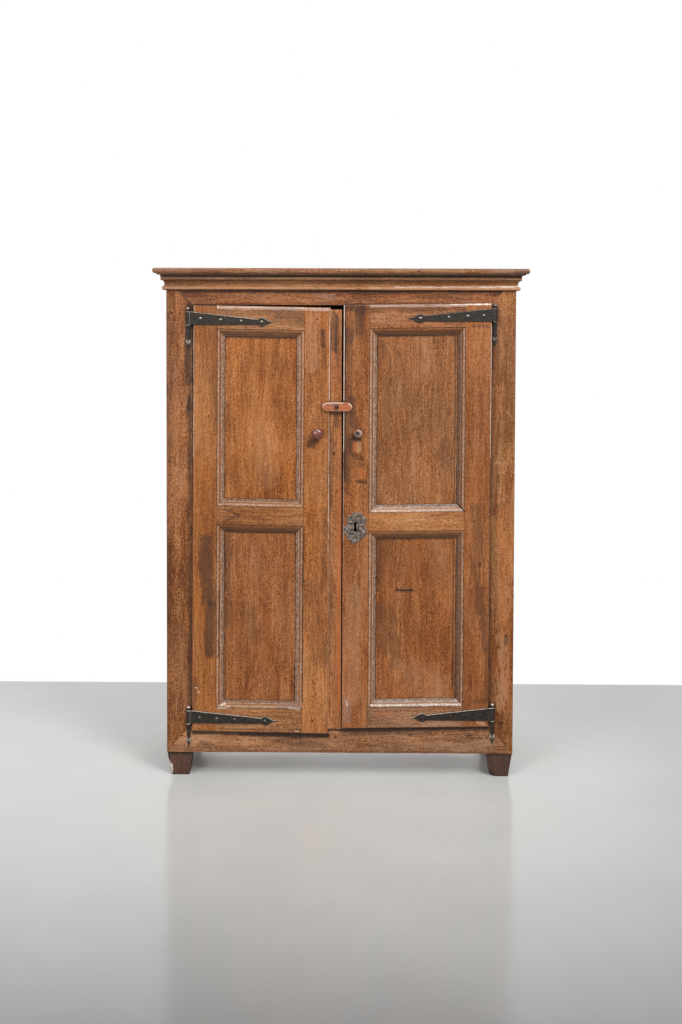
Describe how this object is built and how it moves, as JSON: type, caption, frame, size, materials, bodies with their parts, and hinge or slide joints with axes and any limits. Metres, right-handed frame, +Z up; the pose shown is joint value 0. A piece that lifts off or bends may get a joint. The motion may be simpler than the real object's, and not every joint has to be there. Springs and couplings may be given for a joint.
{
  "type": "kas cupboard",
  "caption": "Joined oak cupboard with framed and panelled doors on strap hinges and pintles, a turn button, a lock and shelves.",
  "frame": {"origin": "centre of the bounding box at floor level", "axes": "+X to the right seen from the front, +Y to the back, +Z up; the doors face -Y"},
  "size_m": [1.242, 0.488, 1.708],
  "materials": {
    "oak": "old waxed oak, worn at the edges",
    "dark_oak": "dry unwaxed oak",
    "foot_oak": "darkened oak, scuffed",
    "button_wood": "hand-polished hardwood",
    "knob_wood": "hand-polished hardwood",
    "iron": "forged, dark, worn bright on edges"
  },
  "bodies": {
    "carcass": {"front_top_rail": "oak", "front_bottom_rail": "oak", "front_cornice": "oak", "top_board": "oak", "left_front_post": "oak", "left_side_top_rail": "oak", "left_side_mid_rail": "oak", "left_side_bottom_rail": "oak", "left_side_upper_panel": "oak", "left_side_lower_panel": "oak", "left_cornice_return": "oak", "right_front_post": "oak", "right_side_top_rail": "oak", "right_side_mid_rail": "oak", "right_side_bottom_rail": "oak", "right_side_upper_panel": "oak", "right_side_lower_panel": "oak", "right_cornice_return": "oak", "rear_top_rail": "dark_oak", "rear_bottom_rail": "dark_oak", "left_rear_post": "dark_oak", "right_rear_post": "dark_oak", "floor_board": "dark_oak", "lower_shelf": "dark_oak", "upper_shelf": "dark_oak", "back_board_1": "dark_oak", "back_board_2": "dark_oak", "back_board_3": "dark_oak", "left_front_foot": "foot_oak", "right_front_foot": "foot_oak", "left_upper_pintle": "iron", "left_lower_pintle": "iron", "right_upper_pintle": "iron", "right_lower_pintle": "iron"},
    "left_door": {"left_hinge_stile": "oak", "left_meeting_stile": "oak", "left_top_rail": "oak", "left_mid_rail": "oak", "left_bottom_rail": "oak", "left_upper_panel": "oak", "left_lower_panel": "oak", "closing_strip": "oak", "left_knob": "knob_wood", "left_upper_strap": "iron", "left_lower_strap": "iron", "button_nail": "iron"},
    "right_door": {"right_hinge_stile": "oak", "right_meeting_stile": "oak", "right_top_rail": "oak", "right_mid_rail": "oak", "right_bottom_rail": "oak", "right_upper_panel": "oak", "right_lower_panel": "oak", "right_knob": "knob_wood", "right_upper_strap": "iron", "right_lower_strap": "iron", "escutcheon": "iron", "lock_case": "iron"},
    "turn_button": {"turn_button": "button_wood"},
    "lock_bolt": {"lock_bolt": "iron"}
  },
  "joints": [
    {"name": "left_door_swing", "type": "hinge", "parent": "carcass", "child": "left_door", "pos_m": [-0.508, -0.2045, 0.87], "axis": [0, 0, -1], "range_deg": [0, 160]},
    {"name": "right_door_swing", "type": "hinge", "parent": "carcass", "child": "right_door", "pos_m": [0.512, -0.2045, 0.87], "axis": [0, 0, 1], "range_deg": [0, 160]},
    {"name": "turn_button_turn", "type": "hinge", "parent": "left_door", "child": "turn_button", "pos_m": [-0.0115, -0.214, 1.249], "axis": [0, 1, 0], "range_deg": [-90, 90]},
    {"name": "lock_bolt_slide", "type": "slide", "parent": "right_door", "child": "lock_bolt", "axis": [-1, 0, 0], "range_m": [0, 0.018]}
  ]
}
